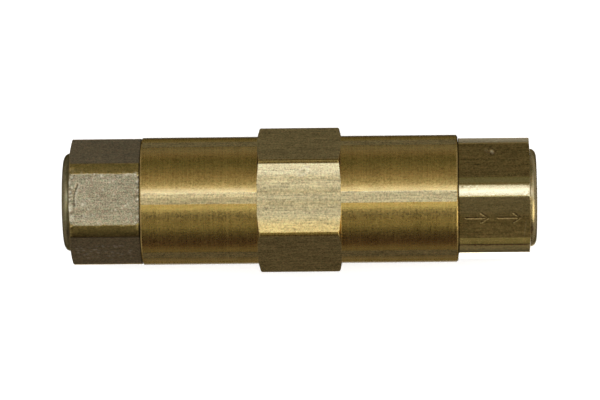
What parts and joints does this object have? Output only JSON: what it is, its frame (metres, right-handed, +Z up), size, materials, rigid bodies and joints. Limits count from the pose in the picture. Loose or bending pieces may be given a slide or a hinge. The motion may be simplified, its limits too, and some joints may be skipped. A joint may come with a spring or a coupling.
{
  "type": "inline needle valve",
  "caption": "Short straight brass needle valve: a round barrel with a wrench hexagon at its middle turns between hexagon end adapters with threaded ports, and slides the needle inside.",
  "frame": {"origin": "on the flow axis, half way between the faces of the two port bosses, with the valve shut", "axes": "+X along the flow axis from the inlet to the outlet, +Z up, square to the barrel's uppermost wrench flat, +Y across"},
  "size_m": [0.059, 0.018, 0.0158],
  "materials": {
    "turned_brass": "as turned, with fine tool lines round the sleeves and drawn-bar streaks along the flats",
    "dull_brass": "handled bar stock, greyed and scuffed on one wrench flat",
    "bronze": "turned bronze, fine tool lines",
    "stainless": "ground and turned stainless steel",
    "spring_wire": "drawn stainless spring wire",
    "nitrile": "moulded black nitrile, lightly greased",
    "ptfe": "skived white PTFE"
  },
  "bodies": {
    "line_body": {"inlet_adapter": "dull_brass", "outlet_adapter": "turned_brass", "core_tube": "turned_brass", "needle_guide": "bronze", "seat_insert": "stainless", "seat_o_ring": "nitrile", "spring_seat_washer": "stainless", "anti_backlash_spring": "spring_wire", "inlet_o_ring": "nitrile", "outlet_o_ring": "nitrile", "inlet_backup_ring": "ptfe", "outlet_backup_ring": "ptfe", "inlet_thrust_washer": "ptfe", "outlet_thrust_washer": "ptfe"},
    "barrel": {"adjusting_barrel": "turned_brass"},
    "needle_train": {"follower_nut": "bronze", "drive_pin": "stainless", "needle_carrier": "turned_brass", "needle": "stainless", "needle_lock_nut": "stainless"}
  },
  "joints": [
    {"name": "barrel_turn", "type": "hinge", "parent": "line_body", "child": "barrel", "pos_m": [0, 0, 0], "axis": [1, 0, 0], "range_deg": [0, 1296]},
    {"name": "needle_lift", "type": "slide", "parent": "line_body", "child": "needle_train", "axis": [-1, 0, 0], "range_m": [0, 0.0036], "deforming": ["anti_backlash_spring"]}
  ],
  "couplings": [
    {"joint": "needle_lift", "follows": "barrel_turn", "m_per_rad": 0.00015915}
  ]
}
